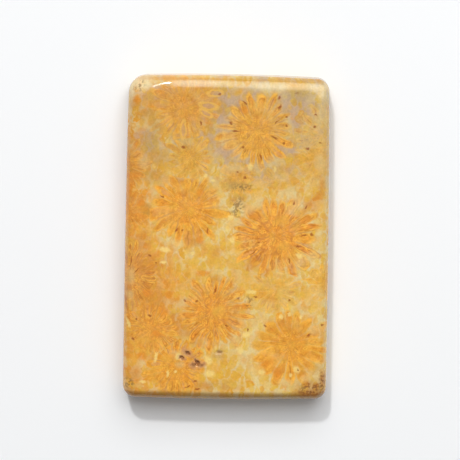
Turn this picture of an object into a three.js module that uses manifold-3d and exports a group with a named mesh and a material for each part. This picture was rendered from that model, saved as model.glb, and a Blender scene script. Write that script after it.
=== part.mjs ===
// A slice of fossil coral: one piece of stone, cut as a small slab, with its rim ground round and
// every face polished. It lies on its flat back. X runs across the slab, Y along it, and Z points up
// out of the polished face. The origin is the middle of the back. Sizes are in millimetres.

import * as THREE from 'three';
import { mergeVertices } from 'three/addons/utils/BufferGeometryUtils.js';
import Module from 'manifold-3d';

// The slab was squared by hand, so its ends and its sides differ a little.
const WIDTH_HEAD = 25.0; // across the +Y end, between the corners of the straight sides
const WIDTH_FOOT = 25.76; // across the -Y end
const LENGTH_LEFT = 40.82; // along the -X side
const LENGTH_RIGHT = 40.56; // along the +X side
const THICKNESS = 4.8;

// How far the middle of each side stands out from the straight line between its corners.
const BOW = { left: 0.07, foot: 0.17, right: 0.11, head: 0.2 };

// The rounding of the rim, as its reach in from the side and its depth down the side.
const FRONT_RIM = { reach: 1.4, depth: 1.5 };
const BACK_RIM = { reach: 1.0, depth: 1.1 };

// Corner radii of the slab seen from the front, and of the flat that the rim leaves on each face.
const CORNERS = { headLeft: 2.3, footLeft: 1.6, footRight: 1.5, headRight: 1.6 };
const FLAT_CORNERS = { headLeft: 2.0, footLeft: 1.4, footRight: 1.4, headRight: 1.4 };

// The head's left corner was ground down further than the rest: there the front flat draws back from
// the head and its rounding starts at a tilt in degrees, so that the flat has a crease for an edge. This
// grows along the head from start to end, and fades down the left side until foot; onset is the power
// of that share at which the tilt comes on.
const EASED = { drawBack: 0.3, tilt: 24, onset: 1.3, start: -6.8, end: -10, foot: 13 };

// Small natural hollows that the polish left open: middle, length, width, depth and turn in degrees.
const PITS = [
  { x: -3.45, y: -15.66, length: 0.85, width: 0.6, depth: 0.36, turn: 70 },
  { x: -4.65, y: -14.41, length: 0.8, width: 0.45, depth: 0.26, turn: -38 },
  { x: -5.45, y: -15.01, length: 0.75, width: 0.6, depth: 0.22, turn: 15 },
  { x: -0.7, y: -14.26, length: 0.8, width: 0.6, depth: 0.12, turn: -30 },
];

// Smoothness: points on each side and around each corner, and rings up each rounding of the rim.
const SIDE_POINTS = 15;
const CORNER_POINTS = 8;
const RIM_RINGS = 7;
const PIT_SEGMENTS = 14;

// The slab's outline, drawn in from its sides by inset, with the given corner radii: a closed ring of
// points, anticlockwise from the start of the head's left corner.
function outline(inset, radii) {
  const corners = [
    { x: -WIDTH_HEAD / 2, y: LENGTH_LEFT / 2, radius: radii.headLeft, bow: BOW.left },
    { x: -WIDTH_FOOT / 2, y: -LENGTH_LEFT / 2, radius: radii.footLeft, bow: BOW.foot },
    { x: WIDTH_FOOT / 2, y: -LENGTH_RIGHT / 2, radius: radii.footRight, bow: BOW.right },
    { x: WIDTH_HEAD / 2, y: LENGTH_RIGHT / 2, radius: radii.headRight, bow: BOW.head },
  ];
  const outward = corners.map((corner, i) => {
    const next = corners[(i + 1) % corners.length];
    return new THREE.Vector2(next.y - corner.y, corner.x - next.x).normalize();
  });

  // Each corner is an arc about a centre that lies inset + radius inside both of its sides.
  const arcs = corners.map((corner, i) => {
    const before = outward[(i + corners.length - 1) % corners.length];
    const after = outward[i];
    const middle = before.clone().add(after);
    const inward = (inset + corner.radius) / (1 + before.dot(after));
    const centre = new THREE.Vector2(corner.x, corner.y).addScaledVector(middle, -inward);
    const from = before.angle();
    const turn = Math.asin(before.cross(after));
    return Array.from({ length: CORNER_POINTS + 1 }, (_, j) => {
      const angle = from + (turn * j) / CORNER_POINTS;
      return new THREE.Vector2(Math.cos(angle), Math.sin(angle)).multiplyScalar(corner.radius).add(centre);
    });
  });

  // Each side joins two arcs, bowed out by a parabola.
  return corners.flatMap((corner, i) => {
    const start = arcs[i][CORNER_POINTS];
    const end = arcs[(i + 1) % corners.length][0];
    const side = Array.from({ length: SIDE_POINTS }, (_, j) => {
      const s = (j + 1) / (SIDE_POINTS + 1);
      return start.clone().lerp(end, s).addScaledVector(outward[i], corner.bow * 4 * s * (1 - s));
    });
    return [...arcs[i], ...side];
  });
}

// How much of the easing there is at a point of the front flat's outline, from 0 to 1.
function easing(p) {
  const head = LENGTH_LEFT / 2 - FRONT_RIM.reach;
  const across = THREE.MathUtils.clamp((p.x - EASED.start) / (EASED.end - EASED.start), 0, 1);
  const up = THREE.MathUtils.clamp((p.y - EASED.foot) / (head - EASED.foot), 0, 1);
  return across * up;
}

// A closed skin over rings of equal length, from the lowest to the highest, with flat ends.
function loft(rings) {
  const count = rings[0].length;
  const positions = rings.flat().flatMap((p) => [p.x, p.y, p.z]);
  const index = [];
  for (let r = 0; r + 1 < rings.length; r++) {
    for (let i = 0; i < count; i++) {
      const a = r * count + i;
      const b = r * count + ((i + 1) % count);
      index.push(a, b, b + count, a, b + count, a + count);
    }
  }
  for (const ring of [0, rings.length - 1]) {
    const flat = rings[ring].map((p) => new THREE.Vector2(p.x, p.y));
    for (const face of THREE.ShapeUtils.triangulateShape(flat, [])) {
      const [a, b, c] = face.map((i) => ring * count + i);
      index.push(...(ring === 0 ? [a, c, b] : [a, b, c]));
    }
  }
  const geometry = new THREE.BufferGeometry();
  geometry.setAttribute('position', new THREE.Float32BufferAttribute(positions, 3));
  geometry.setIndex(index);
  return geometry;
}

// The rings of a rim's rounding, from the flat's outline to the side's, each point with its drop below
// the face for z. The rounding is an arc from the tilt at the flat's edge to upright.
function rimRings(flat, side, rim, eased) {
  return Array.from({ length: RIM_RINGS + 1 }, (_, j) =>
    flat.map((p, i) => {
      const tilt = THREE.MathUtils.degToRad(EASED.tilt) * eased[i] ** EASED.onset;
      const turn = THREE.MathUtils.lerp(tilt, Math.PI / 2, j / RIM_RINGS);
      const out = (Math.sin(turn) - Math.sin(tilt)) / (1 - Math.sin(tilt));
      const radius = (rim.reach + EASED.drawBack * eased[i]) / (1 - Math.sin(tilt));
      const drop = ((radius * rim.depth) / rim.reach) * (Math.cos(tilt) - Math.cos(turn));
      const q = p.clone().lerp(side[i], out);
      return new THREE.Vector3(q.x, q.y, drop);
    }),
  );
}

// The slab: up the back's rounding to the side, and on up the front's.
function slabGeometry() {
  const side = outline(0, CORNERS);
  const backFlat = outline(BACK_RIM.reach, FLAT_CORNERS);
  const uneased = backFlat.map(() => 0);
  const back = rimRings(backFlat, side, BACK_RIM, uneased);

  const plainFlat = outline(FRONT_RIM.reach, FLAT_CORNERS);
  const eased = plainFlat.map(easing);
  const frontFlat = plainFlat.map((p, i) => new THREE.Vector2(p.x, p.y - EASED.drawBack * eased[i]));
  const front = rimRings(frontFlat, side, FRONT_RIM, eased)
    .map((ring) => ring.map((p) => p.setZ(THICKNESS - p.z)))
    .reverse();

  const geometry = loft([...back, ...front]);
  geometry.computeBoundingBox();
  const middle = geometry.boundingBox.getCenter(new THREE.Vector3());
  return geometry.translate(-middle.x, -middle.y, 0);
}

// One pit: the lower half of this egg shape is what the pit takes out of the polished face.
function pitGeometry({ x, y, length, width, depth, turn }) {
  return new THREE.SphereGeometry(0.5, PIT_SEGMENTS, PIT_SEGMENTS / 2)
    .scale(length, width, 2 * depth)
    .rotateZ(THREE.MathUtils.degToRad(turn))
    .translate(x, y, THICKNESS);
}

const wasm = await Module();
wasm.setup();

function toSolid(geometry) {
  const bare = new THREE.BufferGeometry();
  bare.setAttribute('position', geometry.getAttribute('position'));
  bare.setIndex(geometry.getIndex());
  const merged = mergeVertices(bare, 1e-4);
  const solid = new wasm.Mesh({
    numProp: 3,
    vertProperties: Float32Array.from(merged.getAttribute('position').array),
    triVerts: Uint32Array.from(merged.getIndex().array),
  });
  return new wasm.Manifold(solid);
}

function toGeometry(solid) {
  const mesh = solid.getMesh();
  const geometry = new THREE.BufferGeometry();
  geometry.setAttribute('position', new THREE.BufferAttribute(mesh.vertProperties, 3));
  geometry.setIndex(new THREE.BufferAttribute(mesh.triVerts, 1));
  geometry.computeVertexNormals();
  return geometry;
}

const stone = new THREE.MeshStandardMaterial({ color: 0xdca352, roughness: 0.12, metalness: 0 });
const pitted = PITS.reduce((slab, pit) => slab.subtract(toSolid(pitGeometry(pit))), toSolid(slabGeometry()));
const slice = new THREE.Mesh(toGeometry(pitted), stone);
slice.name = 'coral_slice';

const coralSlice = new THREE.Group();
coralSlice.add(slice);

export default coralSlice;
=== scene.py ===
import math

import bpy
import numpy as np
from mathutils import Matrix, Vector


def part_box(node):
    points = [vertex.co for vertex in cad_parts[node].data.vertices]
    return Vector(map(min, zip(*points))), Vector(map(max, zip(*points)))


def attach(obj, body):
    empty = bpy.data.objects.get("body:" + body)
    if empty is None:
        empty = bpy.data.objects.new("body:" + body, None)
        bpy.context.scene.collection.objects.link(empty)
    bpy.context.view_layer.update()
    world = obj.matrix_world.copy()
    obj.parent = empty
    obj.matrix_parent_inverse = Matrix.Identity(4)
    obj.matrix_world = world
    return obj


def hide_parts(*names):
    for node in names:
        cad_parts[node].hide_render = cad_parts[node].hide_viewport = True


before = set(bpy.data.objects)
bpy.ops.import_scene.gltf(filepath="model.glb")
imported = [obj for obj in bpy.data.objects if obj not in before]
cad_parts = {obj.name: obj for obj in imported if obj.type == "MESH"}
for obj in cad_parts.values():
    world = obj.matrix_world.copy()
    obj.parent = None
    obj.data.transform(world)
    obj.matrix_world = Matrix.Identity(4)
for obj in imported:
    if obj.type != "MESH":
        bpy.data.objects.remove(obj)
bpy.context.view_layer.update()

# The slice's form. One piece of agatized coral, squared by hand, with its rim ground round and every
# face polished. It is a skin of rings: out over the flat back, up the rim and the side, and in over
# the front to the pits, where the rings lie closest. Sizes here are in millimetres.

MM = 0.001
WIDTH_HEAD, WIDTH_FOOT = 25.0, 25.76
LENGTH_LEFT, LENGTH_RIGHT = 40.82, 40.56
THICKNESS = 4.8
BOW = np.array([0.07, 0.17, 0.11, 0.2])  # left side, foot, right side, head
SIDE_CORNERS = np.array([2.3, 1.6, 1.5, 1.6])  # head left, foot left, foot right, head right
FLAT_CORNERS = np.array([2.0, 1.4, 1.4, 1.4])
FRONT_REACH, FRONT_DEPTH = 1.4, 1.5
BACK_REACH, BACK_DEPTH = 1.0, 1.1
DRAW_BACK, EASED_TILT, EASED_ONSET = 0.3, math.radians(24), 1.3
EASED_START, EASED_END, EASED_FOOT = -6.8, -10, 13

CORNER_POINTS, SIDE_POINTS = 14, 84
RIM_RINGS, WALL_RINGS, BACK_RINGS = 16, 4, 10

# Middle, half length, half width, depth and turn of each pit.
PITS = [
    (-3.45, -15.66, 0.42, 0.30, 0.36, 70),
    (-4.65, -14.41, 0.40, 0.22, 0.26, -38),
    (-5.45, -15.01, 0.37, 0.30, 0.22, 15),
    (-0.70, -14.26, 0.40, 0.30, 0.12, -30),
]
PIT_MIDDLE = np.array([-4.3, -14.9])
FINE_RADIUS, FINE_RINGS, OUTER_RINGS = 2.6, 44, 34
CREASE_STEPS = (0.006, 0.018)  # of the way in to the circle about the pits
OUTER_SPREAD = 0.8


def outline(inset, radii):
    """Closed ring of points, anticlockwise from the head's left corner. Each corner is an arc about a
    centre that lies inset + radius inside its two sides, and each side joins two arcs as a straight
    line plus a parabola of its bow."""
    corners = np.array([(-WIDTH_HEAD, LENGTH_LEFT), (-WIDTH_FOOT, -LENGTH_LEFT),
                        (WIDTH_FOOT, -LENGTH_RIGHT), (WIDTH_HEAD, LENGTH_RIGHT)]) / 2
    along = np.roll(corners, -1, axis=0) - corners
    after = np.stack([along[:, 1], -along[:, 0]], axis=1)
    after /= np.linalg.norm(after, axis=1, keepdims=True)
    before = np.roll(after, 1, axis=0)
    inward = (inset + radii) / (1 + (before * after).sum(axis=1))
    centres = corners - (before + after) * inward[:, None]
    turn = np.arcsin(before[:, 0] * after[:, 1] - before[:, 1] * after[:, 0])
    angle = np.arctan2(before[:, 1], before[:, 0])[:, None]
    angle = angle + turn[:, None] * np.linspace(0, 1, CORNER_POINTS + 1)
    arcs = np.stack([np.cos(angle), np.sin(angle)], axis=2) * radii[:, None, None] + centres[:, None]
    start, end = arcs[:, -1:], np.roll(arcs[:, :1], -1, axis=0)
    s = (np.arange(SIDE_POINTS) + 1)[None, :, None] / (SIDE_POINTS + 1)
    sides = start + (end - start) * s + (after * BOW[:, None])[:, None] * (4 * s * (1 - s))
    return np.concatenate([arcs, sides], axis=1).reshape(-1, 2)


def easing(ring):
    """How much of the head's left corner's easing there is at each point of the front flat's outline:
    ever more from EASED_START to EASED_END, and ever less down the left side, to none at EASED_FOOT."""
    head = LENGTH_LEFT / 2 - FRONT_REACH
    along = np.clip((ring[:, 0] - EASED_START) / (EASED_END - EASED_START), 0, 1)
    up = np.clip((ring[:, 1] - EASED_FOOT) / (head - EASED_FOOT), 0, 1)
    return along * up


def rim(flat, side, reach, depth, eased):
    """A rim's rings, from the flat's outline to the side's: arcs from the tilt at the flat's edge, which
    is the easing to a power of EASED_TILT, to upright. A ring has gone out by the gain of its angle's
    sine over the whole arc's, and down by the loss of its cosine times the radius."""
    tilt = EASED_TILT * eased ** EASED_ONSET
    turn = tilt + (math.pi / 2 - tilt) * np.linspace(0, 1, RIM_RINGS + 1)[:, None]
    out = (np.sin(turn) - np.sin(tilt)) / (1 - np.sin(tilt))
    radius = (reach + DRAW_BACK * eased) / (1 - np.sin(tilt))
    drop = radius * depth / reach * (np.cos(tilt) - np.cos(turn))
    return np.concatenate([flat + (side - flat) * out[..., None], drop[..., None]], axis=2)


def pit_depth(x, y):
    """How deep the pits are at each point: a bowl is full depth to half its radius and rises to nothing
    at its edge, which wavers by cosines of three and five times the angle."""
    depth = np.zeros_like(x)
    for cx, cy, half_length, half_width, deep, turn in PITS:
        c, s = math.cos(math.radians(turn)), math.sin(math.radians(turn))
        u = ((x - cx) * c + (y - cy) * s) / half_length
        v = ((y - cy) * c - (x - cx) * s) / half_width
        around = np.arctan2(v, u)
        edge = 1 + 0.16 * np.cos(3 * around + cx) + 0.09 * np.cos(5 * around + 2 * cy)
        rise = np.clip((1 - np.hypot(u, v) / edge) / 0.5, 0, 1)
        depth = np.maximum(depth, deep * rise * rise * (3 - 2 * rise))
    return depth


def front_rings(flat):
    """The front's rings, from the flat's outline in: two that stay close to it, so that its crease is
    sharp, then ever closer to a circle about the pits, each point along its own ray, and then shrinking
    with that circle."""
    rays = flat - PIT_MIDDLE
    circle = PIT_MIDDLE + rays / np.linalg.norm(rays, axis=1, keepdims=True) * FINE_RADIUS
    steps = (np.arange(1, OUTER_RINGS + 1) / OUTER_RINGS) ** OUTER_SPREAD
    s = np.concatenate([CREASE_STEPS, steps])
    outer = flat + (circle - flat) * s[:, None, None]
    s = (np.arange(1, FINE_RINGS) / FINE_RINGS)[:, None, None]
    rings = np.concatenate([outer, circle + (PIT_MIDDLE - circle) * s])
    return np.concatenate([rings, pit_depth(rings[..., 0], rings[..., 1])[..., None]], axis=2)


def slice_mesh(name):
    """The whole skin: rings of equal length joined by quads and closed by a fan at each end, moved and
    sized by a hair so that its box is the solid's own."""
    side = outline(0, SIDE_CORNERS)
    back_flat = outline(BACK_REACH, FLAT_CORNERS)
    front_flat = outline(FRONT_REACH, FLAT_CORNERS)
    eased = easing(front_flat)
    front_flat[:, 1] -= DRAW_BACK * eased
    back = back_flat * (np.arange(1, BACK_RINGS) / BACK_RINGS)[:, None, None]
    back = np.concatenate([back, np.zeros_like(back[..., :1])], axis=2)
    lower = rim(back_flat, side, BACK_REACH, BACK_DEPTH, np.zeros(len(side)))
    upper = rim(front_flat, side, FRONT_REACH, FRONT_DEPTH, eased) * (1, 1, -1) + (0, 0, THICKNESS)
    s = (np.arange(1, WALL_RINGS) / WALL_RINGS)[:, None, None]
    wall = lower[-1] + (upper[-1] - lower[-1]) * s
    front = front_rings(front_flat) * (1, 1, -1) + (0, 0, THICKNESS)
    rings = np.concatenate([back, lower, wall, upper[::-1], front])
    count, around = rings.shape[:2]
    pit_floor = THICKNESS - pit_depth(PIT_MIDDLE[:1], PIT_MIDDLE[1:])[0]
    poles = np.array([(0, 0, 0), (*PIT_MIDDLE, pit_floor)])
    points = np.concatenate([rings.reshape(-1, 3), poles])

    low, high = (np.array(corner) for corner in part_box("coral_slice"))
    points = low + (points - points.min(axis=0)) * ((high - low) / np.ptp(points, axis=0))

    ring = np.arange(count * around).reshape(count, around)
    after = np.roll(ring, -1, axis=1)
    quads = np.stack([ring[:-1], after[:-1], after[1:], ring[1:]], axis=2).reshape(-1, 4)
    back_fan = np.stack([after[0], ring[0], np.full(around, count * around)], axis=1)
    front_fan = np.stack([ring[-1], after[-1], np.full(around, count * around + 1)], axis=1)
    mesh = bpy.data.meshes.new(name)
    mesh.from_pydata(points.tolist(), [], quads.tolist() + back_fan.tolist() + front_fan.tolist())
    mesh.polygons.foreach_set("use_smooth", np.ones(len(mesh.polygons), dtype=bool))
    mesh.update()
    return mesh


coral = bpy.data.objects.new("coral_slice_polished", slice_mesh("coral_slice_polished"))
bpy.context.collection.objects.link(coral)
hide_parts("coral_slice")
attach(coral, "root")


# The stone's pattern. Every corallite of the colony was cut across, and shows as a flower: a mottled
# disc with petals round it. Clear and cloudy chalcedony in mauve, cream and gold fills the ground
# between them. The pattern goes through the slab, so its sides are streaked and its back shows it too.

class Wire:
    """An output of a shader node. Arithmetic on wires adds Math nodes."""

    tree = None

    def __init__(self, socket):
        self.socket = socket

    @classmethod
    def node(cls, kind, settings, sockets, output=0):
        """Add a node of any kind: its settings first, a ramp's stops among them, then its sockets."""
        node = cls.tree.nodes.new("ShaderNode" + kind)
        for key, value in settings.items():
            if key == "stops":
                ramp = node.color_ramp
                ramp.interpolation = settings.get("between", "LINEAR")
                while len(ramp.elements) < len(value):
                    ramp.elements.new(1.0)
                for element, (place, colour) in zip(ramp.elements, value):
                    element.position = place
                    element.color = colour
            elif key != "between":
                setattr(node, key, value)
        for key, value in sockets.items():
            if isinstance(value, cls):
                cls.tree.links.new(value.socket, node.inputs[key])
            else:
                node.inputs[key].default_value = value
        return cls(node.outputs[output])

    def math(self, operation, *others):
        return Wire.node("Math", {"operation": operation}, dict(enumerate((self, *others))))

    def __add__(self, other):
        return self.math("ADD", other)

    def __sub__(self, other):
        return self.math("SUBTRACT", other)

    def __rsub__(self, other):
        return Wire.node("Math", {"operation": "SUBTRACT"}, {0: other, 1: self})

    def __mul__(self, other):
        return self.math("MULTIPLY", other)

    def __truediv__(self, other):
        return self.math("DIVIDE", other)

    def __rtruediv__(self, other):
        return Wire.node("Math", {"operation": "DIVIDE"}, {0: other, 1: self})

    __radd__ = __add__
    __rmul__ = __mul__

    def rise(self, low, high):
        """Smoothly from 0 at low to 1 at high, or the other way round where low is the larger."""
        sockets = {0: self, 1: low, 2: high}
        return Wire.node("MapRange", {"interpolation_type": "SMOOTHSTEP"}, sockets)


def srgb(red, green, blue):
    """A colour as the eye reads it, 0 to 255, as the linear colour that a shader takes."""
    steps = [c / 255 / 12.92 if c < 11 else ((c / 255 + 0.055) / 1.055) ** 2.4 for c in (red, green, blue)]
    return (*steps, 1.0)


def blend(below, above, share):
    return Wire.node("Mix", {"data_type": "RGBA"}, {0: share, 6: below, 7: above}, 2)


def tint(colour, amount):
    """A colour made lighter or darker by an amount about 1, or any vector made longer or shorter."""
    return Wire.node("VectorMath", {"operation": "SCALE"}, {0: colour, 3: amount})


def noise(place, scale, detail=1.0, output=0):
    return Wire.node("TexNoise", {}, {"Vector": place, "Scale": scale, "Detail": detail}, output)


def combined(across, along, through=0.0):
    """A vector from three numbers."""
    return Wire.node("CombineXYZ", {}, {0: across, 1: along, 2: through})


def apart(vector):
    """The three numbers of a vector."""
    return [Wire.node("SeparateXYZ", {}, {0: vector}, i) for i in range(3)]


def length(vector):
    return Wire.node("VectorMath", {"operation": "LENGTH"}, {0: vector}, 1)


def stretched(vector, by, moved):
    """A vector times another plus a third."""
    return Wire.node("VectorMath", {"operation": "MULTIPLY_ADD"}, {0: vector, 1: by, 2: moved})


def wander(at, source, scale, reach):
    """Move places on the slab's plane by a noise of the places in source, up to about half of reach."""
    way = stretched(noise(source, scale, 1.0, 1), (1, 1, 1), (-0.5, -0.5, -0.5))
    return stretched(way, (reach, reach, 0), at)


def pick(odds, colours):
    """One of some colours by a random number in 0 to 1."""
    stops = [(i / len(colours), colour) for i, colour in enumerate(colours)]
    return Wire.node("ValToRGB", {"between": "CONSTANT", "stops": stops}, {0: odds})


def shade(amount, colours):
    """Smoothly through some colours, from the first at 0 to the last at 1."""
    stops = [(i / (len(colours) - 1), colour) for i, colour in enumerate(colours)]
    return Wire.node("ValToRGB", {"stops": stops}, {0: amount})


stone = bpy.data.materials.new("polished fossil coral")
stone.use_nodes = True
stone.node_tree.nodes.clear()
Wire.tree = stone.node_tree

# Places on the stone in millimetres, leaning a little with depth as the corallites grew, and bent so
# that nothing is quite round or straight.
LEAN = (0.10, -0.07)
place = tint(Wire.node("TexCoord", {}, {}, 3), 1 / MM)
x, y, z = apart(place)
below_face = THICKNESS - z
upright = combined(x + below_face * LEAN[0], y + below_face * LEAN[1])
ragged = wander(upright, place, 2.6, 0.14)
uneven = wander(ragged, place, 1.0, 0.30)
bent = wander(uneven, place, 0.32, 1.1)

# Each corallite's middle and radius, its petals, how clear it is, how hollow its petals are, their half
# width in parts of a sector at the rim, how far the gaps between them are filled with their colour, how
# finely lined it is, and the colour of its petals.
CORALLITES = [
    (-5.5, 16.5, 4.6, 18, 0.78, 0.9, 0.34, 0.5, 0.4, (224, 160, 72)),
    (3.4, 13.8, 5.0, 20, 1.00, 0.3, 0.32, 0.1, 0.6, (235, 174, 74)),
    (12.0, 13.4, 3.9, 20, 0.70, 0.2, 0.34, 0.2, 0.2, (226, 192, 110)),
    (-5.0, 4.0, 5.0, 18, 1.00, 0.3, 0.36, 0.2, 0.5, (231, 158, 58)),
    (6.0, 0.6, 5.8, 21, 1.00, 0.2, 0.37, 0.1, 1.0, (232, 156, 64)),
    (-12.4, -4.7, 4.6, 22, 1.00, 0.5, 0.33, 0.5, 0.7, (219, 155, 78)),
    (-1.7, -9.1, 5.0, 24, 1.00, 0.5, 0.33, 0.3, 0.9, (231, 156, 60)),
    (8.2, -13.2, 5.1, 17, 1.00, 0.2, 0.40, 0.3, 0.3, (229, 159, 58)),
    (-9.2, -11.5, 3.6, 20, 0.90, 0.5, 0.36, 0.6, 0.8, (227, 157, 66)),
    (-6.1, -16.3, 4.0, 18, 1.00, 0.4, 0.36, 0.6, 0.6, (232, 159, 56)),
    (-13.1, 9.3, 3.5, 18, 0.85, 0.2, 0.36, 0.5, 0.3, (215, 146, 66)),
    (-12.5, 3.3, 3.0, 14, 0.85, 0.2, 0.36, 0.5, 0.3, (222, 146, 58)),
    (-4.8, 10.3, 3.4, 16, 0.85, 0.5, 0.36, 0.2, 0.3, (221, 170, 72)),
    (11.2, 10.2, 3.4, 16, 0.55, 0.2, 0.36, 0.3, 0.2, (225, 172, 68)),
    (6.9, 7.5, 2.9, 14, 0.50, 0.2, 0.36, 0.3, 0.3, (220, 168, 66)),
    (6.2, -6.4, 3.4, 14, 0.75, 0.3, 0.36, 0.2, 0.2, (226, 176, 76)),
    (12.5, -5.4, 3.0, 12, 0.85, 0.3, 0.36, 0.1, 0.2, (226, 172, 68)),
    (-6.8, -6.2, 3.2, 14, 0.35, 0.1, 0.36, 0.5, 0.1, (228, 154, 60)),
    (1.3, 7.8, 2.3, 12, 0.75, 0.2, 0.36, 0.4, 0.4, (218, 162, 62)),
]


# Where the ground is mauve-grey, cream, gold, orange and ochre. In this list and all that follow, a
# row is the middle, length, width and turn of one place.
MAUVE_PLACES = [
    (-5.1, 12.4, 2.0, 1.2, 0), (-0.3, 17.2, 2.8, 2.5, 90), (9.1, 17.9, 3.8, 3, 0),
    (10.5, 13.3, 2.8, 2.5, 0), (-1.7, 15.0, 2.2, 1.8, 90), (-0.4, 10.6, 2, 1.8, 0), (4.9, 8.9, 5, 2, 0),
    (1.5, 8.6, 2.2, 1.8, 0), (7.2, 11.2, 1.8, 1.8, 0), (-9.0, 18.3, 3.2, 1.5, 0),
    (-10.1, 12.1, 2.2, 2, 90), (-2.8, 12.4, 1.8, 1.5, 0), (3.0, 18.4, 1.6, 1.2, 0),
    (9.4, 15.4, 2.0, 2.2, 0), (11.3, 17.8, 3.8, 1.8, 90),
]
# One cream place, long along the head's rim at (7.0, 19.3), is a painted reflection of the window; the rest
# are the stone's own cream.
CREAM_AND_REFLECTION_PLACES = [
    (3.6, -11.5, 3.4, 1.8, 80), (3.8, -16.6, 2.6, 1.8, 0), (7.3, 5.9, 3.4, 1.8, 10),
    (8.6, 4.2, 2.8, 1.8, 0), (1.3, 9.2, 2.0, 1.2, 0), (6.5, 8.2, 2.2, 1.2, 0), (-6.0, -14.6, 2.0, 1.4, 0),
    (11.6, 15.6, 3.6, 2.0, 90), (11.0, 18.2, 3.0, 1.4, 0), (7.0, 19.3, 11.0, 1.3, 0),
    (-10.9, 19.3, 2.6, 2.0, 0), (-12.2, 11.9, 1.4, 2.0, 0), (9.4, -2.6, 2.6, 1.8, 70),
    (11.8, -6.4, 1.4, 2.0, 0), (11.9, -11.2, 1.2, 2.4, 0), (-6.5, -0.6, 2.2, 1.0, 0),
    (-3.0, -13.0, 2.0, 1.4, 0), (11.7, 10.0, 2.2, 2.8, 0), (6.0, 10.0, 2.2, 1.4, 0),
]
GOLD_PLACES = [
    (-1.3, -4.4, 2.4, 2.0, 0), (-4.3, -3.2, 2.0, 1.8, 0), (2.6, -5.0, 2.4, 2.0, 0),
    (1.0, -14.8, 1.8, 1.8, 0), (1.2, -0.8, 1.6, 1.6, 0), (11.2, 6.4, 2.0, 2.4, 0),
    (1.9, -4.2, 3.4, 2.6, 0), (-5.7, -3.6, 2.4, 2.0, 0), (0.2, -17.4, 4.4, 2.8, 0),
    (-4.0, -4.6, 3.6, 3.0, 0), (0.9, 18.6, 1.8, 1.0, 0), (8.9, 10.2, 5.0, 1.6, 0),
    (-3.4, 12.6, 3.0, 1.2, 0), (-1.4, -1.2, 2.8, 2.2, 0), (-1.6, 1.7, 1.8, 1.4, 0),
    (0.3, -0.2, 1.6, 1.6, 0), (1.4, -2.8, 3.0, 1.8, 0), (3.6, -6.4, 3.4, 2.0, -30),
    (9.4, -6.3, 2.6, 1.8, 0), (0.1, -15.6, 2.8, 2.8, 0), (11.0, 0.8, 1.2, 2.0, 0),
    (-1.3, -2.6, 2.4, 1.6, 0), (3.3, 6.6, 2.4, 1.4, 0), (6.0, -5.4, 3.0, 1.4, 0),
    (-7.8, 9.4, 2.4, 1.8, 0), (2.5, -18.4, 2.4, 1.2, 0),
]
ORANGE_PLACES = [
    (-8.4, -5.6, 2.2, 1.6, 0), (-9.6, -7.4, 2.0, 2.0, 0), (-6.9, -7.3, 1.6, 1.6, 0),
    (-6.2, -10.4, 5.2, 3.4, -30), (-8.8, -7.8, 3.4, 3.0, 0), (-8.6, -3.6, 2.8, 2.4, 0),
    (-10.5, -0.4, 2.4, 2.4, 0), (11.0, 5.0, 2.8, 2.2, 30), (3.0, -3.0, 1.6, 1.8, 0),
    (4.8, -3.9, 2.4, 1.4, 0),
]
OCHRE_PLACES = [
    (-2.2, -18.7, 2.4, 1.4, 0), (-0.6, -14.5, 1.8, 1.6, 0), (-10.0, 3.6, 1.8, 2.0, 0),
    (-0.9, 16.6, 1.4, 2.0, 0), (-10.2, 15.6, 2.2, 2.0, 0), (-9.4, 8.0, 2.6, 2.0, 0),
    (-8.6, 10.4, 2.2, 2.0, 0), (10.6, -18.4, 4.4, 2.4, 8), (0.3, -18.6, 3.4, 1.2, 0),
    (1.4, 5.4, 2.4, 2.2, 0), (11.6, -16.2, 1.4, 1.6, 0),
]

# The petals that are only an outline round the ground.
KEYHOLES = [
    (-2.5, 16.8, 2.6, 1.00, -8), (-2.8, 15.9, 2.0, 0.75, -30), (-1.7, 18.4, 2.2, 0.95, 5),
    (-5.6, 13.8, 2.7, 0.75, 88),
]

# Where deep orange, gold and cream show over the ground and the corallites alike.
DEEP_PLACES = [
    (-9.9, -3.2, 3.0, 2.0, 0), (-9.5, -7.2, 3.4, 3.2, 0), (-5.0, -11.8, 1.6, 1.4, 0),
    (-3.6, -13.0, 1.8, 1.2, 0), (-11.4, -17.3, 1.6, 1.8, 0), (-6.0, 7.3, 1.6, 1.3, 0),
    (3.5, -2.9, 1.8, 1.6, 0), (7.5, -10.6, 2.2, 1.5, 0), (9.7, 3.9, 1.8, 1.1, 40),
    (-11.6, 16.8, 1.4, 1.6, 0), (5.7, -7.4, 1.4, 1.2, 0), (11.8, 6.9, 1.0, 2.0, 0),
    (-2.7, -18.6, 1.8, 1.2, 0), (-10.2, 3.4, 1.6, 1.8, 0), (10.5, -15.7, 1.4, 1.4, 0),
    (4.3, -6.8, 1.6, 1.2, 0), (-1.4, -1.7, 1.2, 1.2, 0), (-1.4, -5.0, 1.4, 1.2, 0),
    (-3.8, -0.4, 1.4, 1.2, 0),
]
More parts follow.
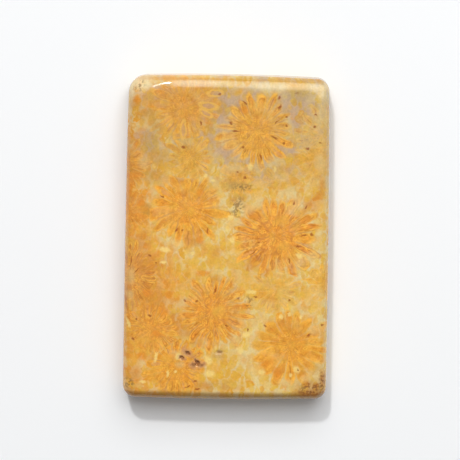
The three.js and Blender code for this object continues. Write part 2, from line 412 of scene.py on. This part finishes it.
GOLDEN_PLACES = [
    (8.1, 19.3, 2.6, 1.3, 0), (2.6, -5.2, 2.0, 1.6, 0), (-4.1, -3.8, 1.8, 1.4, 0),
    (1.2, -1.3, 1.6, 1.6, 0), (-1.3, -16.0, 1.2, 1.6, 0), (11.5, -8.5, 1.4, 1.4, 0),
    (4.1, 7.2, 1.8, 1.4, 0), (4.8, -11.9, 1.8, 1.4, 0), (4.2, -13.2, 1.4, 1.2, 0),
    (7.2, -0.7, 1.8, 1.6, 0), (-1.0, 3.3, 1.6, 1.4, 0), (-9.0, -17.0, 1.6, 1.2, 0),
    (-7.3, -15.2, 1.6, 1.4, 0), (-10.1, -12.8, 1.6, 1.2, 0), (-11.4, -15.3, 1.4, 1.2, 0),
    (0.5, 2.1, 1.2, 1.2, 0), (3.8, 5.9, 1.6, 1.4, 0), (6.7, 2.6, 1.8, 1.6, 0), (8.3, -2.0, 1.6, 1.4, 0),
    (4.2, -16.4, 1.6, 1.6, 0), (11.7, 4.3, 1.2, 1.6, 0), (10.2, -7.4, 1.6, 1.4, 0),
    (-0.8, -9.0, 1.8, 1.6, 0), (-4.2, 6.2, 1.8, 1.4, 0),
]
CLEAR_PLACES = [
    (10.2, -17.4, 1.4, 1.0, 0), (10.8, -1.8, 1.6, 1.4, 0), (2.8, -15.2, 1.6, 2.0, 0),
    (-1.4, 10.3, 1.6, 1.4, 0), (2.6, 3.9, 1.6, 1.4, 0), (1.2, -12.6, 1.6, 1.2, 0),
    (7.7, -18.0, 1.8, 1.0, 0), (-5.6, -15.9, 1.2, 0.9, 0), (0.2, 9.0, 1.6, 1.4, 0),
    (-5.1, 12.3, 1.8, 1.0, 0), (11.6, 9.8, 1.6, 1.8, 0), (-11.9, -4.7, 1.0, 2.4, 0),
    (-10.4, 9.6, 1.6, 1.6, 0), (3.8, 9.1, 2.0, 1.4, 0), (8.8, 5.2, 1.4, 1.2, 0),
    (11.0, -11.3, 1.2, 1.2, 0), (-12.0, -7.1, 0.9, 1.4, 0),
]

# Marks where they are on this stone. The dark ones are slits and dots in the petals, and the stains
# lie round the pits, one of them fainter than the rest.
DARK_MARKS = [
    (0.3, 14.7, 0.62, 0.38, -10), (0.9, 13.7, 1.1, 0.25, -3), (2.0, 17.3, 0.88, 0.28, -45),
    (1.9, 11.7, 0.5, 0.38, 50), (4.1, 10.6, 1.1, 0.25, -80), (5.7, 13.0, 0.88, 0.31, -25),
    (6.0, 14.9, 0.75, 0.25, 45), (6.2, 17.9, 0.56, 0.31, 55), (6.3, 16.8, 0.75, 0.38, 65),
    (7.2, 15.6, 0.4, 0.33, 0), (7.2, 14.5, 0.45, 0.33, -15), (6.9, 12.3, 0.5, 0.25, 45),
    (-1.1, 18.3, 0.53, 0.38, 0), (1.2, 8.6, 0.4, 0.31, 0), (2.2, 7.9, 0.5, 0.38, 0),
    (8.4, 18.6, 0.62, 0.23, 15), (10.8, 15.9, 0.45, 0.28, 0), (10.7, 14.4, 0.5, 0.33, 0),
    (9.9, 11.7, 0.56, 0.38, 0), (11.5, 12.4, 0.5, 0.25, 0), (-3.4, 14.6, 0.75, 0.28, 88),
    (-5.6, 11.6, 0.62, 0.42, 0), (9.7, 0.8, 0.88, 0.25, 8), (10.6, 0.9, 0.5, 0.38, 60),
    (9.9, 4.3, 0.62, 0.31, 55), (8.3, 4.8, 0.5, 0.3, 80), (7.9, -2.5, 0.88, 0.28, -70),
    (8.9, -0.6, 0.88, 0.23, -15), (3.3, -1.5, 1.1, 0.2, 40), (4.0, -0.2, 0.38, 0.25, 0),
    (-8.1, 5.4, 0.75, 0.25, -30), (-2.4, 1.2, 0.75, 0.25, 85), (-6.3, 1.2, 0.69, 0.25, 70),
    (-5.6, 1.2, 0.45, 0.28, 75), (-9.6, -2.1, 0.45, 0.28, -45), (-8.8, -3.0, 0.33, 0.25, 0),
    (-11.9, -2.9, 2.0, 0.17, 80), (-11.2, -4.0, 1.2, 0.17, 50), (-5.1, -7.7, 0.62, 0.23, -20),
    (-3.6, -7.8, 0.38, 0.3, 0), (-1.3, -6.3, 1.4, 0.23, 82), (0.1, -10.8, 0.62, 0.2, -25),
    (-11.2, -10.2, 0.33, 0.3, 0), (-9.5, -9.7, 0.62, 0.3, -20), (-11.6, -12.7, 0.45, 0.38, 0),
    (-3.7, -18.0, 0.62, 0.42, 0), (-4.6, -18.7, 0.88, 0.2, 25), (-3.4, -19.0, 0.75, 0.25, 20),
    (1.6, -7.3, 0.5, 0.28, 0), (3.7, -7.1, 0.62, 0.25, -5), (2.9, -11.3, 0.62, 0.28, 85),
    (5.0, -10.8, 0.62, 0.25, -35), (8.0, -7.5, 0.38, 0.3, 0), (10.5, -11.9, 0.75, 0.33, 40),
    (12.2, -10.6, 0.5, 0.33, 0), (9.2, -16.4, 0.38, 0.28, -70),
]
PALE_MARKS = [
    (-2.1, -15.3, 1.3, 0.9, -60), (-1.9, -17.0, 1.4, 0.9, -10), (-5.9, -14.8, 1.0, 0.7, 60),
    (-6.2, -16.8, 0.5, 0.4, 0), (-7.2, -17.1, 0.9, 0.35, 85), (-10.3, -18.2, 1.0, 0.4, 0),
    (-12.2, -10.7, 1.4, 0.4, 110), (-7.7, -1.3, 1.6, 0.69, -12), (-4.2, -1.7, 0.62, 0.45, -20),
    (9.1, -1.8, 1.0, 0.62, -35), (3.2, -6.5, 1.2, 0.55, -8), (-7.9, -2.9, 0.88, 0.38, 5),
    (7.0, -9.6, 0.65, 0.55, 90), (8.0, -9.3, 0.62, 0.5, 90), (9.5, -9.6, 0.45, 0.38, 90),
    (8.3, -17.0, 0.57, 0.5, 90), (-8.7, -15.0, 1.4, 0.42, 78), (2.8, 9.3, 1.0, 0.62, 90),
    (5.9, 9.0, 0.68, 0.5, 90), (0.5, 2.9, 0.75, 0.62, 0), (0.7, 0.1, 1.0, 0.75, 90),
    (2.6, -12.0, 1.1, 0.75, 20), (1.9, -13.9, 1.1, 0.88, 90), (4.7, -16.7, 0.88, 0.75, 0),
    (9.1, -16.3, 1.1, 0.7, -65), (-2.8, 8.1, 0.62, 0.5, 0), (-1.8, 7.5, 0.5, 0.5, 0),
]
ORANGE_MARKS = [
    (-11.4, 17.4, 1.1, 1.0, 0), (-11.8, 7.9, 1.8, 1.0, 0), (-12.2, 6.2, 1.9, 0.88, 90),
    (-10.7, 4.5, 1.1, 1.0, 0), (-7.2, -7.0, 1.2, 1.0, 0), (-7.8, -9.1, 1.6, 1.4, 0),
    (-9.9, -6.8, 1.4, 1.2, 0), (-8.6, -12.0, 1.2, 1.0, 0), (-10.3, -14.9, 1.4, 1.4, 0),
    (-2.9, -4.2, 2.1, 0.88, 0), (-3.4, 5.9, 1.1, 1.0, 0), (2.0, 16.3, 1.4, 1.0, -50),
    (6.5, -16.6, 1.4, 1.2, 150), (5.0, -15.6, 1.5, 1.1, 20), (-3.4, 0.0, 1.1, 1.1, 0),
]
STAINS = [
    (-3.9, -15.9, 0.7, 0.6, 0), (-3.3, -15.8, 0.8, 0.6, -20), (-2.8, -15.9, 0.62, 0.4, 30),
    (-4.7, -14.4, 0.9, 0.5, -30), (-5.4, -15.0, 0.68, 0.35, -25), (-3.6, -15.3, 0.5, 0.3, -60),
]
FAINT_STAIN = [(-0.7, -14.25, 0.85, 0.7, -30)]

# Where the stone is finely speckled with dark grains, and one corallite with brown ones. Where it is
# brown at its foot's right corner, whitish at its head's corners, painted with the window's reflection
# along its head, and olive here and there in its upper half.
SPECKLED = [
    (1.3, 4.2, 1.8, 2.8, 0), (1.9, 6.7, 2.8, 1.1, 0), (10.8, -18.8, 3.0, 1.5, 6),
    (12.3, -17.9, 0.9, 2.4, 0), (-11.3, 19.4, 2.2, 2.0, 0), (2.9, -7.8, 1.0, 1.8, 0),
    (-12.0, -18.4, 1.6, 1.6, 0),
]
FRECKLED = [(3.5, -0.8, 3.0, 3.4, 0)]
BROWN_PLACES = [
    (11.0, -19.3, 3.6, 1.1, 4), (12.4, -17.8, 0.8, 2.2, 0), (10.4, -18.3, 1.0, 0.8, 0),
    (11.5, -18.4, 0.9, 0.7, 0),
]
WHITE_AND_REFLECTION_PLACES = [
    (-11.0, 19.5, 2.8, 1.8, 0), (-12.2, 18.4, 1.0, 2.0, 0), (12.0, 18.6, 1.6, 2.6, 0),
    (5.0, 19.2, 4.6, 1.0, 0), (11.0, 19.2, 2.0, 1.0, 0), (-4.0, 19.6, 9.0, 0.8, 0),
]
GREEN_PLACES = [
    (-9.7, 12.3, 2.0, 2.8, 0), (-9.0, 14.0, 1.6, 1.6, 0), (8.6, 18.4, 2.6, 1.6, 0),
    (0.9, 6.9, 2.6, 1.0, 0),
]


def nearest_corallite(at):
    """Go through the corallites and keep the nearest by distance over radius: the way from its middle
    in radii, its distance, its number, and the distance of the next nearest."""
    way, near, second, number = (0, 0, 0), 9.0, 9.0, 0.0
    for i, (cx, cy, radius, *_) in enumerate(CORALLITES):
        this_way = stretched(at, (1 / radius, 1 / radius, 0), (-cx / radius, -cy / radius, 0))
        far = length(this_way)
        nearer = far.math("LESS_THAN", near)
        second = far.math("MAXIMUM", near).math("MINIMUM", second)
        near = far.math("MINIMUM", near)
        way = Wire.node("Mix", {"data_type": "VECTOR"}, {0: nearer, 4: way, 5: this_way}, 1)
        number = Wire.node("Mix", {"data_type": "FLOAT"}, {0: nearer, 2: number, 3: float(i)}, 0)
    return way, near, number, second


way, far, number, next_far = nearest_corallite(bent)
share = (number + 0.5) / len(CORALLITES)
MOST_PETALS = 32
petals, clear, hollow = apart(pick(share, [(row[3] / MOST_PETALS, row[4], row[5], 1) for row in CORALLITES]))
wide, filled, lined = apart(pick(share, [(*row[6:9], 1) for row in CORALLITES]))
petals = (petals * MOST_PETALS).math("ROUND")
flower_colour = pick(share, [srgb(*row[9]) for row in CORALLITES])

# The petals share the circle unevenly: their count along it is bent by a noise of the direction.
way_x, way_y, _ = apart(way)
angle = way_y.math("ARCTAN2", way_x)
direction = combined(way_x / far, way_y / far, number * 5.3)
turned = angle / math.tau * petals + noise(direction, 1.5) * 1.7
sector = turned.math("FLOOR")
across = turned - sector - 0.5


def oddities(which, kind):
    """Three random numbers of each petal, or of each gap between two, by its count on the circle."""
    key = combined(which.math("FLOORED_MODULO", petals), number, kind)
    return apart(Wire.node("TexWhiteNoise", {}, {0: key}, 1))


odd_a, odd_b, odd_c = oddities(sector, 0.5)
odd_d, odd_e, odd_f = oddities(sector, 4.5)
gap_a, _, gap_c = oddities((turned + 0.5).math("FLOOR"), 8.5)

# A petal is a blunt rod that lies along its sector and ends in a half circle at its tip. Towards the
# middle the sectors are narrower than the rods, which then meet in seams; some seams are closed.
tip = 0.80 + odd_a * 0.32
half_width = math.tau / petals * (wide - 0.07 + odd_b * 0.12)
sector_width = far * math.tau / petals
aside = across.math("ABSOLUTE") * sector_width
beyond = (far - tip + half_width * 2.8).math("MAXIMUM", 0.0) * 0.36
rod = half_width - length(combined(aside, beyond))
to_seam = sector_width * 0.5 - aside
joined = gap_a.rise(0.86, 0.90)
inside = rod.math("MINIMUM", to_seam + joined * 0.05).math("MINIMUM", (next_far - far) * 0.5)
up = far / tip

# The stone is cloudy in places, and what lies deeper in it is blurred.
cloudy = noise(place, 0.26, 1.0).rise(0.44, 0.68)
blur = cloudy * 0.025 + 0.020
body = inside.rise(blur * -1.0, blur)
crisp = noise(place, 0.9).rise(0.30, 0.60) * (1 - cloudy * 0.6) * (0.25 + lined * 0.75)
outlined = odd_c.rise(0.50, 0.92)
lip = inside.rise(0.0, 0.012) * inside.rise(0.042, 0.022) * crisp
inner_line = inside.rise(0.030, 0.042) * inside.rise(0.062, 0.048) * odd_c.rise(0.25, 0.4) * crisp
hollow_part = inside.rise(0.050, 0.068) * (hollow + 1 - odd_c).rise(1.0, 1.2) * up.rise(0.45, 0.6)
seam = to_seam.rise(0.030, 0.008) * (1 - joined) * gap_c.rise(0.15, 0.95)
seam = seam * far.rise(0.16, 0.34) * up.rise(1.0, 0.85)
slit = aside.rise(0.018, 0.004) * up.rise(0.45, 0.60) * up.rise(0.92, 0.80) * odd_d.rise(0.74, 0.80)
disc = far.rise(0.56, 0.34)

# The ground: a mosaic of soft gold, yellow and orange cells, longer than they are wide, in a cream
# matrix that turns to mauve and grey towards the head.
PALE = srgb(244, 216, 142)
SEAM = srgb(216, 164, 106)
ORANGE = srgb(228, 146, 46)
WARM = [srgb(232, 202, 128), srgb(231, 190, 96), srgb(230, 180, 70), srgb(224, 167, 54), srgb(228, 158, 48)]
COOL = [srgb(216, 186, 126), srgb(212, 174, 90), srgb(218, 172, 68), srgb(208, 160, 66), srgb(216, 156, 56)]
CREAM = srgb(229, 201, 136)
MAUVE = srgb(204, 170, 134)


def marked(rows, at, outer, inner):
    """How much of a mark there is at each place, from none at outer to all at inner, by the least of
    the distances from the marks' middles, in half lengths along the mark and half widths across it."""
    near = 9.0
    for cx, cy, long, wide, turn in rows:
        level = Wire.node("VectorRotate", {"rotation_type": "Z_AXIS"},
                          {0: at, 1: (cx, cy, 0), 3: math.radians(-turn)})
        level = stretched(level, (2 / long, 2 / wide, 0), (-2 * cx / long, -2 * cy / wide, 0))
        near = length(level).math("MINIMUM", near)
    return near.rise(outer, inner)


def patches(at, scale, softness):
    """Soft-edged patches, one to a cell: three random numbers of the patch at each place."""
    sockets = {"Vector": at, "Scale": scale, "Smoothness": softness}
    return apart(Wire.node("TexVoronoi", {"voronoi_dimensions": "2D", "feature": "SMOOTH_F1"}, sockets, 1))


def cells(at, scale, randomness=1.0):
    """Cells of one or so to the square at the given scale: the distance from the middle of the cell at
    each place, and the cell's three random numbers."""
    sockets = {"Vector": at, "Scale": scale, "Randomness": randomness}
    away = Wire.node("TexVoronoi", {"voronoi_dimensions": "2D"}, sockets, 0)
    return away, apart(Wire.node("TexVoronoi", {"voronoi_dimensions": "2D"}, sockets, 1))


headward = marked(MAUVE_PLACES, uneven, 2.2, 0.9) * (0.5 + noise(place, 0.8, 2.0) * 0.9)
headness = y.rise(3.0, 11.0)
leftward = (x * -0.10 + noise(place, 0.3) - 1.25).rise(-0.35, 0.35)
ground_place = wander(uneven, place, 0.7, 1.0)
across_ground, along_ground, _ = apart(ground_place)
cell_place = wander(combined(across_ground * 1.20, along_ground * 0.78), place, 1.6, 0.6)
away, cell_odds = cells(cell_place, 1.0)
coarse = patches(ground_place, 0.45, 0.4)
fine = noise(place, 2.6, 2.0)
tone = cell_odds[0] * 0.90 + coarse[0] * 0.45 + fine * 0.3 - 0.23 + leftward * 0.25
cell = blend(shade(tone, WARM), shade(tone, COOL), headward)
matrix = blend(blend(CREAM, MAUVE, coarse[1].rise(0.3, 0.9) * (0.15 + headness * 0.4)), MAUVE, headward)
matrix = tint(matrix, 0.92 + fine * 0.16)
in_cell = cell_odds[1] * 0.50 + 0.28 - headward * 0.10 - away + (fine - 0.5) * 0.30
in_cell = (in_cell / (0.14 + headness * 0.10)).rise(-1.0, 1.0) * (0.65 + cell_odds[2] * 0.35)
ground = blend(matrix, cell, in_cell)
spot = (0.20 - away).rise(-0.12, 0.12) * cell_odds[2].rise(0.66, 0.74) * (1 - headward * 0.7)
ground = blend(ground, PALE, spot * 0.6)
ground = blend(ground, ORANGE, leftward * (0.50 - headness * 0.30))
ground = blend(ground, tint(flower_colour, 0.95), far.rise(1.05, 0.75) * filled * clear)
halo = blend(CREAM, MAUVE, (headward + headness * 0.4).math("MINIMUM", 1.0))
halo_share = far.rise(1.18, 0.92) * (0.85 - filled * 1.5).math("MAXIMUM", 0.0) * clear
ground = blend(ground, halo, halo_share * (1 - in_cell * 0.4))
cream_and_reflection = marked(CREAM_AND_REFLECTION_PLACES, ground_place, 1.5, 0.4)
ground = blend(ground, srgb(229, 203, 142), cream_and_reflection * (0.75 - in_cell * 0.35))
for places, colour, least, more in (
    (GOLD_PLACES, srgb(226, 170, 62), 0.45, 0.40),
    (ORANGE_PLACES, srgb(216, 144, 56), 0.60, 0.35),
    (OCHRE_PLACES, srgb(204, 154, 76), 0.55, 0.25),
):
    ground = blend(ground, colour, marked(places, ground_place, 1.5, 0.4) * (least + in_cell * more))
wisp = (noise(ground_place, 0.9, 2.0) - 0.5).math("ABSOLUTE").rise(0.018, 0.004)
ground = blend(ground, SEAM, wisp * 0.08)

# Petals and discs over the ground.
DARK = srgb(160, 88, 40)
LINE = srgb(190, 110, 38)
LIGHT = srgb(252, 194, 78)
DEEP = srgb(226, 138, 36)
HOLLOW = srgb(220, 170, 112)
grain = noise(combined(across * 4.0, far * 4.0, sector + number * 40.0), 1.0, 2.0)
fleck = noise(combined(turned * 3.4, far * 7.0, number * 7.1), 1.0, 2.0)
mottle = noise(place, 1.1, 2.0)
core = (inside / half_width).rise(0.05, 0.75)
petal = blend(blend(flower_colour, LIGHT, 0.35), flower_colour, core)
petal = blend(petal, LIGHT, (odd_f * 0.9 + grain * 0.5 - 0.75).math("MAXIMUM", 0.0))
petal = blend(petal, DEEP, core * up.rise(0.35, 0.85) * (odd_a * 0.45 + 0.10))
petal = blend(petal, DEEP, grain.rise(0.50, 0.66) * 0.45)
petal = tint(petal, 0.77 + mottle * 0.32 + odd_e * 0.14)
petal = blend(petal, LIGHT, lip * (0.12 + outlined * 0.43))
petal = blend(petal, LINE, inner_line * 0.65)
petal = blend(petal, HOLLOW, hollow_part * 0.45)
petal = blend(petal, DARK, slit * 0.5)
petal = blend(petal, LIGHT, fleck.rise(0.56, 0.66) * (0.30 + lined * 0.45))
petal = blend(petal, LINE, fleck.rise(0.42, 0.34) * (0.15 + lined * 0.35))
seen = clear * (1 - cloudy * 0.25) * (1 - cream_and_reflection * 0.5)
coral_colour = blend(ground, petal, body * seen)
seam_colour = blend(PALE, blend(SEAM, LINE, 0.5), lined.rise(0.1, 0.5))
coral_colour = blend(coral_colour, seam_colour, seam * seen * (0.50 + lined * 0.25))
edge = inside.rise(-0.016, -0.002) * inside.rise(0.014, 0.002)
coral_colour = blend(coral_colour, LINE, edge * crisp * seen * (0.15 + outlined * 0.35))

# A disc is a mosaic of beads, one to a sector and a few along it: each has a lighter ring in it.
bead_place = wander(combined(turned, far * 9.0 + sector * 0.37, number * 3.7), place, 2.0, 0.8)
bead, bead_odds = cells(bead_place, 1.0, 0.8)
disc_colour = blend(flower_colour, DEEP, bead_odds[0] * 0.5)
disc_colour = blend(disc_colour, LIGHT, bead.rise(0.16, 0.26) * bead.rise(0.46, 0.34) * bead_odds[1] * 0.8)
disc_colour = blend(disc_colour, blend(SEAM, LINE, 0.7), bead.rise(0.40, 0.62) * (0.10 + lined * 0.35))
disc_colour = blend(disc_colour, LINE, fleck.rise(0.42, 0.34) * 0.4)
disc_colour = tint(disc_colour, 0.86 + mottle * 0.28)
coral_colour = blend(coral_colour, disc_colour, disc * seen * (0.75 + lined * 0.2))

# Soft clouds of yellow, orange and tan lie over all of it, fainter on the corallites, and it is finely
# speckled.
YELLOW = srgb(232, 187, 70)
LOW_CLOUD = srgb(230, 200, 142)
HEAD_CLOUD = srgb(202, 164, 124)
clouds = wander(uneven, place, 1.4, 0.5)
yellow, orange, third = apart(noise(clouds, 0.95, 1.0, 1))
over_ground = 1 - body * seen * 0.75
low_share = third.rise(0.46, 0.66) * (0.35 - leftward * 0.25) * (1 - in_cell * 0.7)
coral_colour = blend(coral_colour, blend(LOW_CLOUD, HEAD_CLOUD, headness), low_share * over_ground)
orange_share = orange.rise(0.48, 0.70) * (0.25 + leftward * 0.2 - headward * 0.2)
coral_colour = blend(coral_colour, ORANGE, orange_share * over_ground)
yellow_share = yellow.rise(0.46, 0.64) * (0.50 - headness * 0.2 - leftward * 0.1) * (0.35 + in_cell * 0.65)
coral_colour = blend(coral_colour, YELLOW, yellow_share * over_ground)

# Four petals are a ring of their own colour round a hollow of another.
keyhole_rings = marked(KEYHOLES, uneven, 1.15, 0.95) * (1 - marked(KEYHOLES, uneven, 0.75, 0.55) * 0.9)
coral_colour = blend(coral_colour, srgb(236, 184, 88), keyhole_rings * 0.75)
coral_colour = blend(coral_colour, srgb(206, 162, 116), marked(KEYHOLES, uneven, 0.65, 0.50) * 0.55)

# Deep orange, gold and cream lie over the ground and the corallites alike.
for places, colour, strength in (
    (DEEP_PLACES, srgb(208, 136, 48), 0.45),
    (GOLDEN_PLACES, srgb(236, 178, 74), 0.50),
    (CLEAR_PLACES, srgb(226, 192, 126), 0.50),
):
    coral_colour = blend(coral_colour, colour, marked(places, uneven, 1.5, 0.3) * strength)

# Painted shade on the rim, which is a little darker than the face: along the head's rim, down the left
# edge, and in a brown line along the foot, which turns from the light. An orange line on the head's far
# slope stands for the polish there reflecting nothing bright.
painted_foot_shade = y.rise(-19.2, -19.7)
painted_head_shade = y.rise(19.75, 20.1) * 0.07 + y.rise(19.2, 19.9) * (0.04 + x.rise(-3.0, 2.0) * 0.09)
painted_rim_shade = painted_head_shade + painted_foot_shade * 0.17 + x.rise(-9.5, -12.5) * 0.03
coral_colour = blend(coral_colour, srgb(176, 124, 56), painted_foot_shade * 0.55)
painted_rim_line = y.rise(19.75, 19.95) * y.rise(20.35, 20.15) * x.rise(12.5, 10.5) * (0.45 - x.rise(-3.0, 2.0) * 0.2)
coral_colour = blend(coral_colour, srgb(218, 150, 48), painted_rim_line)

# The marks have ragged edges. Most of them end a little under the face.
torn = wander(upright, place, 2.2, 0.4)
near_face = below_face.rise(1.4, 0.9)
specks = noise(place, 3.0, 4.0).rise(0.47, 0.58)
stained = (marked(STAINS, torn, 1.3, 0.5) + marked(FAINT_STAIN, torn, 1.3, 0.3) * 0.85) * near_face
haze = marked(STAINS, torn, 2.6, 0.8) * near_face
for colour, amount in (
    (srgb(228, 143, 46), marked(ORANGE_MARKS, torn, 1.3, 0.4) * near_face * 0.6),
    (srgb(246, 212, 126), marked(PALE_MARKS, torn, 1.35, 0.45) * near_face * 0.8),
    (DARK, marked(DARK_MARKS, torn, 1.25, 0.3) * near_face * 0.8),
    (srgb(182, 114, 44), marked(BROWN_PLACES, torn, 1.8, 0.3) * (0.60 + specks * 0.35)),
    (LINE, marked(FRECKLED, torn, 1.2, 0.6) * specks * near_face * 0.5),
    # The whitish places along the head's rim are a painted reflection of the window; those at its corners are
    # the stone's own.
    (srgb(230, 214, 174), marked(WHITE_AND_REFLECTION_PLACES, torn, 1.6, 0.4) * 0.40),
    (srgb(190, 160, 96), marked(GREEN_PLACES, torn, 1.7, 0.4) * 0.45),
    (srgb(134, 100, 58), marked(SPECKLED, torn, 1.3, 0.4) * specks * near_face * 0.6),
    (srgb(196, 148, 112), haze * 0.6),
    (srgb(148, 96, 36), stained * 0.80),
):
    coral_colour = blend(coral_colour, colour, amount)
speckle = noise(place, 4.5, 2.0)
# The rim's part of this tint is painted shade. The stone is also a little darker towards the head.
coral_colour = tint(coral_colour, 0.775 + speckle * 0.28 + mottle * 0.11 - headness * 0.07 - painted_rim_shade)

# The polish brings out the pattern: every colour stands a little further from the mean one.
MEAN_COLOUR = srgb(221, 168, 87)
CONTRAST = 1.12
beyond_one = {"data_type": "RGBA", "clamp_factor": False, "clamp_result": True}
coral_colour = Wire.node("Mix", beyond_one, {0: CONTRAST, 6: MEAN_COLOUR, 7: coral_colour}, 2)

CHALCEDONY_IOR = 1.54
surface = Wire.node("BsdfPrincipled", {}, {
    "Base Color": coral_colour,
    "Roughness": 0.09 + mottle * 0.05 + stained * 0.4,
    "IOR": CHALCEDONY_IOR,
})
output = Wire.tree.nodes.new("ShaderNodeOutputMaterial")
Wire.tree.links.new(surface.socket, output.inputs[0])
coral.data.materials.append(stone)


# The floor. A pale, plain, matt table that reaches well past the slab, so that no edge of it is seen.
# Its white is a touch cool.

FLOOR_HALF = 1.2
FLOOR_COLOUR = (0.90, 0.91, 0.92, 1)
floor_mesh = bpy.data.meshes.new("floor")
floor_mesh.from_pydata([(-FLOOR_HALF, -FLOOR_HALF, 0), (FLOOR_HALF, -FLOOR_HALF, 0),
                        (FLOOR_HALF, FLOOR_HALF, 0), (-FLOOR_HALF, FLOOR_HALF, 0)], [], [(0, 1, 2, 3)])
floor = bpy.data.objects.new("floor", floor_mesh)
bpy.context.collection.objects.link(floor)
table = bpy.data.materials.new("pale table")
table.use_nodes = True
table_finish = table.node_tree.nodes["Principled BSDF"]
table_finish.inputs["Base Color"].default_value = FLOOR_COLOUR
table_finish.inputs["Roughness"].default_value = 0.8
table_finish.inputs["Specular IOR Level"].default_value = 0.2
floor_mesh.materials.append(table)


# Light and camera. A key and a broad soft lamp, both from beyond the head, an even fill, and a tall
# bright window that only the polish shows. The camera looks down, leaning a little towards the head.

KEY_AZIMUTH, KEY_ELEVATION = math.radians(104), math.radians(45)
KEY_STRENGTH, KEY_SPREAD = 1.16, math.radians(4)
FILL_STRENGTH = 0.28
sun = bpy.data.lights.new("key", "SUN")
sun.energy = KEY_STRENGTH
sun.angle = KEY_SPREAD
key = bpy.data.objects.new("key", sun)
key.rotation_euler = (0, math.pi / 2 - KEY_ELEVATION, KEY_AZIMUTH)
bpy.context.collection.objects.link(key)

world = bpy.data.worlds.new("fill")
world.use_nodes = True
world.node_tree.nodes["Background"].inputs["Color"].default_value = (1.0, 1.0, 1.0, 1)
world.node_tree.nodes["Background"].inputs["Strength"].default_value = FILL_STRENGTH
bpy.context.scene.world = world


def lamp(name, azimuth, elevation, distance, width, height, radiance):
    """A rectangular lamp that faces the slab from a direction, with its height in the upright plane."""
    area = bpy.data.lights.new(name, "AREA")
    area.shape = "RECTANGLE"
    area.size, area.size_y = width, height
    area.energy = radiance * math.pi * width * height
    obj = bpy.data.objects.new(name, area)
    flat = distance * math.cos(elevation)
    obj.location = (flat * math.cos(azimuth), flat * math.sin(azimuth), distance * math.sin(elevation))
    obj.rotation_euler = (elevation - math.pi / 2, 0, azimuth - math.pi / 2)
    bpy.context.collection.objects.link(obj)
    return obj


SOFT_AZIMUTH, SOFT_ELEVATION, SOFT_DISTANCE = math.radians(82), math.radians(50), 0.5
SOFT_WIDTH, SOFT_HEIGHT, SOFT_RADIANCE = 0.46, 0.43, 3.2
soft = lamp("soft lamp", SOFT_AZIMUTH, SOFT_ELEVATION, SOFT_DISTANCE, SOFT_WIDTH, SOFT_HEIGHT, SOFT_RADIANCE)
soft.visible_glossy = False
soft.visible_camera = False

WINDOW_DISTANCE = 0.5
WINDOW_FROM, WINDOW_TO = math.radians(1), math.radians(73)
WINDOW_PARTS = 3
WINDOW_LEFT, WINDOW_RIGHT = -0.03, 0.75
WINDOW_RADIANCE = 2.3
part = (WINDOW_TO - WINDOW_FROM) / WINDOW_PARTS
for i in range(WINDOW_PARTS):
    lean = WINDOW_FROM + part * (i + 0.5)
    height = 2 * WINDOW_DISTANCE * math.tan(part / 2)
    window = lamp("window", math.pi / 2, math.pi / 2 - lean, WINDOW_DISTANCE,
                  WINDOW_RIGHT - WINDOW_LEFT, height, WINDOW_RADIANCE)
    window.location.x = (WINDOW_LEFT + WINDOW_RIGHT) / 2
    window.visible_diffuse = False
    window.visible_camera = False

bpy.context.scene.view_settings.view_transform = "Standard"

PIXEL = 0.125 * MM
IMAGE = 460
DISTANCE = 300 * MM
TILT = math.radians(8)
ROLL = math.radians(0.9)
AIM = (0.42 * MM, 1.29 * MM)  # the picture's middle from the slab's, to the right and up
SENSOR = 36  # any width in millimetres does, since the lens follows from it
camera_data = bpy.data.cameras.new("camera")
camera_data.sensor_width = SENSOR
camera_data.lens = SENSOR * DISTANCE / (IMAGE * PIXEL)
camera_data.clip_start = 0.01
camera = bpy.data.objects.new("camera", camera_data)
back = np.array([0, math.sin(TILT), math.cos(TILT)])
level = np.array([1, 0, 0])
above = np.cross(back, level)
right = level * math.cos(ROLL) + above * math.sin(ROLL)
top = np.cross(back, right)
target = np.array([0, 0, THICKNESS * MM]) + right * AIM[0] + top * AIM[1]
stand = np.eye(4)
stand[:3] = np.stack([right, top, back, target + back * DISTANCE], axis=1)
camera.matrix_world = Matrix(stand)
bpy.context.collection.objects.link(camera)
bpy.context.scene.camera = camera
